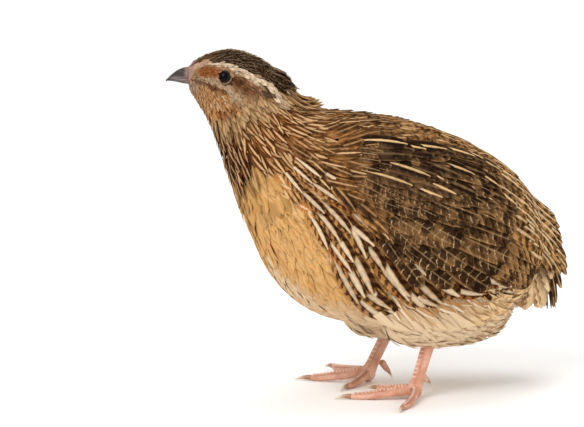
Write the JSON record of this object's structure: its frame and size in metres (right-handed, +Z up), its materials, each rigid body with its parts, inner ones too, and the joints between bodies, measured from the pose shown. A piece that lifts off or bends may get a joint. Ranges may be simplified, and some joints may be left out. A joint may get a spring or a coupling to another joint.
{
  "type": "coturnix quail",
  "caption": "Life-size still model of a small brown streaked ground bird standing on both feet with its head turned.",
  "frame": {"origin": "middle of the bird's footprint box, on the floor it stands on", "axes": "+Z up, +Y toward the tail, +X toward the bird's own left side"},
  "size_m": [0.0941, 0.1571, 0.136],
  "materials": {
    "head_feathers": "soft matte feathers, dark crown with cream stripes",
    "breast_feathers": "soft matte feathers, buff orange with pale streaks",
    "body_feathers": "soft matte feathers, brown and black with cream shaft streaks",
    "wing_feathers": "matte feathers, grey brown with fine buff crossbars",
    "tail_feathers": "matte feathers, rufous brown with cream streaks",
    "belly_feathers": "downy cream and buff feathers",
    "bill": "satin horn, dark grey with a pinkish base",
    "eye": "wet gloss, near black brown",
    "leg_skin": "satin scaly skin, pinkish flesh",
    "claw": "satin horn, pale"
  },
  "bodies": {
    "root": {"head": "head_feathers", "neck": "breast_feathers", "torso": "body_feathers", "tail": "tail_feathers", "bill_upper": "bill", "bill_lower": "bill", "eye_left": "eye", "eye_right": "eye", "wing_left": "wing_feathers", "wing_right": "wing_feathers", "thigh_left": "belly_feathers", "thigh_right": "belly_feathers", "shank_left": "leg_skin", "toe_middle_left": "leg_skin", "claw_middle_left": "claw", "toe_outer_left": "leg_skin", "claw_outer_left": "claw", "toe_inner_left": "leg_skin", "claw_inner_left": "claw", "toe_hallux_left": "leg_skin", "claw_hallux_left": "claw", "shank_right": "leg_skin", "toe_middle_right": "leg_skin", "claw_middle_right": "claw", "toe_outer_right": "leg_skin", "claw_outer_right": "claw", "toe_inner_right": "leg_skin", "claw_inner_right": "claw", "toe_hallux_right": "leg_skin", "claw_hallux_right": "claw"}
  },
  "joints": []
}
